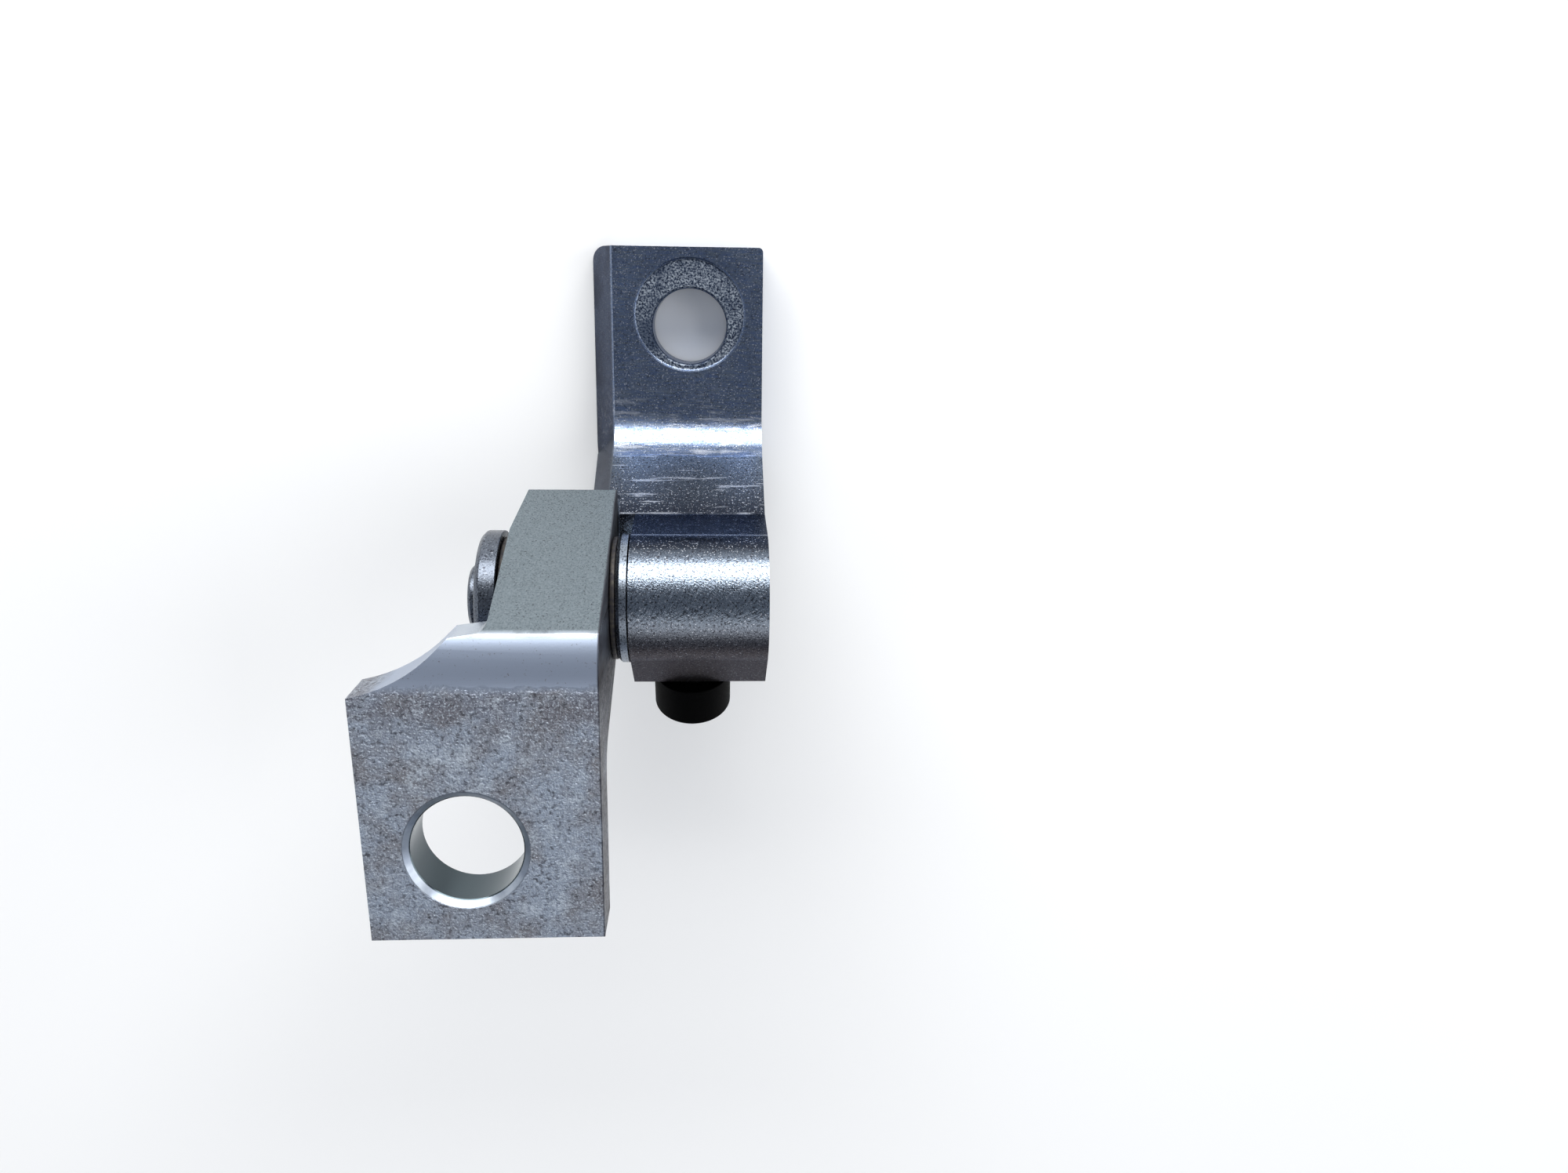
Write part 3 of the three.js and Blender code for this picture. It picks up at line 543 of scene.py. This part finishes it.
def turned_zinc():
    """Turned steel with bright zinc: fine tool lines round the pin, small dark specks and small painted
    glints.
    """
    size, tint = sizes(), colors()
    material, add, shader, place = new_material("bright_zinc_on_turned_steel", {"Metallic": 1.0})
    round_run = add(MAPPING, {"Vector": place, "Scale": (1, 0.02, 0.02)})
    lines = add(NOISE, {"Vector": round_run, "Scale": 1 / (0.14 * MM), "Detail": 1, "Roughness": 0.4})
    specks = add(NOISE, {"Vector": place, "Scale": 1 / size.speck_size, "Detail": 2, "Roughness": 0.6})
    across = add(AXES, (place,)).node.outputs["X"]
    on_collar = add(RAMP, (across, PILLAR_HIGH.x + 0.5 * MM, PILLAR_HIGH.x + 0.6 * MM))
    tone = add(MIX, {0: on_collar, 6: tint.turned_grey, 7: tint.collar_pale}, IN_COLOR, 2)
    dark_specks = add(RAMP, (specks, 0.44, 0.34))
    # Painted glints: small bright specks of the glint colour.
    turned_glints = add(RAMP, (specks, 0.64, 0.76, 0, 0.6))
    for mask, layer in ((dark_specks, tint.grime), (turned_glints, tint.glint_and_wear_white)):
        tone = add(MIX, {0: mask, 6: tone, 7: layer}, IN_COLOR, 2)
    rough = add(RAMP, (specks, 0.3, 0.7, 0.22, 0.36))
    normal = add(BUMP, {"Height": lines, "Distance": 0.012 * MM, "Strength": 0.3})
    normal = add(BUMP, {"Height": specks, "Distance": 0.05 * MM, "Strength": 0.5, "Normal": normal})
    feed(shader, {"Base Color": tone, "Roughness": rough, "Normal": normal})
    return material


def bush_bronze():
    """Lined bronze: dark, dull and a little greasy, so broad soft highlights."""
    tint = colors()
    material, add, shader, place = new_material("lined_bronze", {"Metallic": 0.7})
    clouds = add(NOISE, {"Vector": place, "Scale": 1 / (0.6 * MM), "Detail": 3, "Roughness": 0.55})
    worn = add(RAMP, (clouds, 0.35, 0.65))
    tone = add(MIX, {0: worn, 6: tint.bush_lining, 7: tint.grime}, IN_COLOR, 2)
    rough = add(RAMP, (clouds, 0.3, 0.7, 0.42, 0.6))
    normal = add(BUMP, {"Height": clouds, "Distance": 0.03 * MM, "Strength": 0.4})
    feed(shader, {"Base Color": tone, "Roughness": rough, "Normal": normal})
    return material


def black_oxide():
    """Black oxide on a heat-treated screw: nearly matt, with a faint even grain."""
    tint = colors()
    constants = {"Metallic": 0.0, "Specular IOR Level": 0.03}
    material, add, shader, place = new_material("black_oxide_steel", constants)
    grain = add(NOISE, {"Vector": place, "Scale": 1 / (0.28 * MM), "Detail": 3, "Roughness": 0.55})
    dust = add(RAMP, (grain, 0.55, 0.72))
    tone = add(MIX, {0: dust, 6: tint.screw_black, 7: tint.screw_dust}, IN_COLOR, 2)
    rough = add(RAMP, (grain, 0.3, 0.7, 0.5, 0.64))
    normal = add(BUMP, {"Height": grain, "Distance": 0.02 * MM, "Strength": 0.3})
    feed(shader, {"Base Color": tone, "Roughness": rough, "Normal": normal})
    return material


# ---- Pieces ----------------------------------------------------------------------------------
class HINGE_OT_pillar_leaf(bpy.types.Operator):
    """Finish the pillar leaf"""

    bl_idname = "hinge.pillar_leaf"
    bl_label = "Pillar leaf"

    def execute(self, context):
        piece = refined_copy("pillar_leaf", "pillar_leaf_finished", sizes().leaf_edge)
        finish_piece(piece, "pillar_leaf", "pillar_side", pillar_zinc())
        return {"FINISHED"}


class HINGE_OT_door_leaf(bpy.types.Operator):
    """Finish the door leaf"""

    bl_idname = "hinge.door_leaf"
    bl_label = "Door leaf"

    def execute(self, context):
        piece = refined_copy("door_leaf", "door_leaf_finished", sizes().leaf_edge)
        finish_piece(piece, "door_leaf", "door_side", door_zinc())
        return {"FINISHED"}


class HINGE_OT_pin(bpy.types.Operator):
    """Finish the pin and its retaining disc"""

    bl_idname = "hinge.pin"
    bl_label = "Pin and disc"

    def execute(self, context):
        material = turned_zinc()
        for node in ("hinge_pin", "retaining_disc"):
            piece = refined_copy(node, node + "_finished", sizes().turned_edge)
            finish_piece(piece, node, "door_side", material)
        return {"FINISHED"}


class HINGE_OT_bushes(bpy.types.Operator):
    """Finish both bushes"""

    bl_idname = "hinge.bushes"
    bl_label = "Bushes"

    def execute(self, context):
        material = bush_bronze()
        for node in ("bush_inner", "bush_outer"):
            piece = refined_copy(node, node + "_finished", sizes().turned_edge)
            finish_piece(piece, node, "pillar_side", material)
        return {"FINISHED"}


class HINGE_OT_lock_screw(bpy.types.Operator):
    """Finish the lock screw"""

    bl_idname = "hinge.lock_screw"
    bl_label = "Lock screw"

    def execute(self, context):
        piece = refined_copy("lock_screw", "lock_screw_finished", sizes().turned_edge)
        finish_piece(piece, "lock_screw", "door_side", black_oxide())
        return {"FINISHED"}


# ---- Stage -----------------------------------------------------------------------------------
def camera_turn(stage):
    """Rotation from the row frame to the camera's own axes."""
    return Matrix.Rotation(stage.roll, 3, "Y") @ Matrix.Rotation(stage.lean, 3, "X")


def camera_target():
    """The pin axis at the arm's inner side."""
    return Vector((PILLAR_HIGH.x, PIN_AXIS.y, PIN_AXIS.z))


def add_area_light(name, from_top, around, distance, width, height, power):
    """A soft box that faces the hinge, at an angle from straight up and one round it from +Y."""
    tilt, turn = math.radians(from_top), math.radians(around)
    towards = Vector((math.sin(tilt) * math.sin(turn), math.sin(tilt) * math.cos(turn), math.cos(tilt)))
    light = bpy.data.lights.new(name, "AREA")
    light.shape = "RECTANGLE"
    light.size = width
    light.size_y = height
    light.energy = power
    lamp = bpy.data.objects.new(name, light)
    bpy.context.scene.collection.objects.link(lamp)
    lamp.location = camera_target() + towards * distance
    lamp.rotation_euler = towards.to_track_quat("Z", "Y").to_euler()


class HINGE_OT_stage(bpy.types.Operator):
    """Add the floor, the lights and the camera"""

    bl_idname = "hinge.stage"
    bl_label = "Stage"

    def execute(self, context):
        stage = context.scene.hinge_stage
        turn = camera_turn(stage)
        offset = Vector((stage.pin_right, stage.pin_down, stage.distance))

        camera_data = bpy.data.cameras.new("hinge_camera")
        camera_data.sensor_width = 36.0
        camera_data.lens = stage.lens
        camera_data.clip_start = 0.005
        camera = bpy.data.objects.new("hinge_camera", camera_data)
        context.scene.collection.objects.link(camera)
        place = Matrix.Translation(camera_target() + turn.transposed() @ offset)
        camera.matrix_world = place @ turn.transposed().to_4x4()
        context.scene.camera = camera

        half = FLOOR_HALF
        low = CAD_BOX[0].z - FLOOR_GAP
        corners = [(-half, -half, low), (half, -half, low), (half, half, low), (-half, half, low)]
        floor_mesh = bpy.data.meshes.new("floor")
        floor_mesh.from_pydata(corners, [], [(0, 1, 2, 3)])
        floor = bpy.data.objects.new("floor", floor_mesh)
        context.scene.collection.objects.link(floor)
        # Matt painted board, so no clear reflections.
        tint = colors()
        floor_material, add, shader, coords = new_material("pale_floor", {"Roughness": 0.9})
        shade = add(NOISE, {"Vector": coords, "Scale": 1 / 0.3, "Detail": 2, "Roughness": 0.55})
        uneven = add(RAMP, (shade, 0.3, 0.7))
        floor_tone = add(MIX, {0: uneven, 6: tint.floor_light, 7: tint.floor_shade}, IN_COLOR, 2)
        feed(shader, {"Base Color": floor_tone})
        floor_mesh.materials.append(floor_material)

        add_area_light("window", 62, 0, 0.9, 1.3, 0.5, 12.5)
        add_area_light("behind", 38, 180, 0.9, 0.8, 0.5, 1.45)
        add_area_light("left_side", 52, -90, 1.0, 0.8, 0.8, 2.2)
        add_area_light("right_side", 52, 90, 1.0, 0.8, 0.8, 4.5)

        world = bpy.data.worlds.new("studio")
        world.use_nodes = True
        sky = world.node_tree
        gaze = add_node(sky, "ShaderNodeTexCoord", output="Generated")
        rise = add_node(sky, AXES, (gaze,), output="Z")
        # Pale walls that darken quickly towards the ceiling.
        strength = add_node(sky, RAMP, (rise, 0.03, 0.22, 0.8, 0.27))
        feed(sky.nodes["Background"], {"Color": tint.air, "Strength": strength})
        context.scene.world = world
        context.scene.view_settings.view_transform = "Standard"
        return {"FINISHED"}


class HINGE_PT_panel(bpy.types.Panel):
    """Lists the steps that finish the hinge"""

    bl_idname = "HINGE_PT_panel"
    bl_label = "Door hinge"
    bl_space_type = "VIEW_3D"
    bl_region_type = "UI"
    bl_category = "Hinge"

    def draw(self, context):
        layout = self.layout
        for step in STEPS:
            layout.operator(step.bl_idname)
        for group in (context.scene.hinge_sizes, context.scene.hinge_colors, context.scene.hinge_stage):
            for key in group.__annotations__:
                layout.prop(group, key)


STEPS = (
    HINGE_OT_stage,
    HINGE_OT_pillar_leaf,
    HINGE_OT_door_leaf,
    HINGE_OT_pin,
    HINGE_OT_bushes,
    HINGE_OT_lock_screw,
)
CLASSES = (HingeSizes, HingeColors, HingeStage, *STEPS, HINGE_PT_panel)


def register():
    for cls in CLASSES:
        bpy.utils.register_class(cls)
    bpy.types.Scene.hinge_sizes = bpy.props.PointerProperty(type=HingeSizes)
    bpy.types.Scene.hinge_colors = bpy.props.PointerProperty(type=HingeColors)
    bpy.types.Scene.hinge_stage = bpy.props.PointerProperty(type=HingeStage)


def unregister():
    del bpy.types.Scene.hinge_stage
    del bpy.types.Scene.hinge_colors
    del bpy.types.Scene.hinge_sizes
    for cls in reversed(CLASSES):
        bpy.utils.unregister_class(cls)


def main():
    register()
    bpy.ops.hinge.stage()
    bpy.ops.hinge.pillar_leaf()
    bpy.ops.hinge.door_leaf()
    bpy.ops.hinge.pin()
    bpy.ops.hinge.bushes()
    bpy.ops.hinge.lock_screw()


if __name__ == "__main__":
    main()
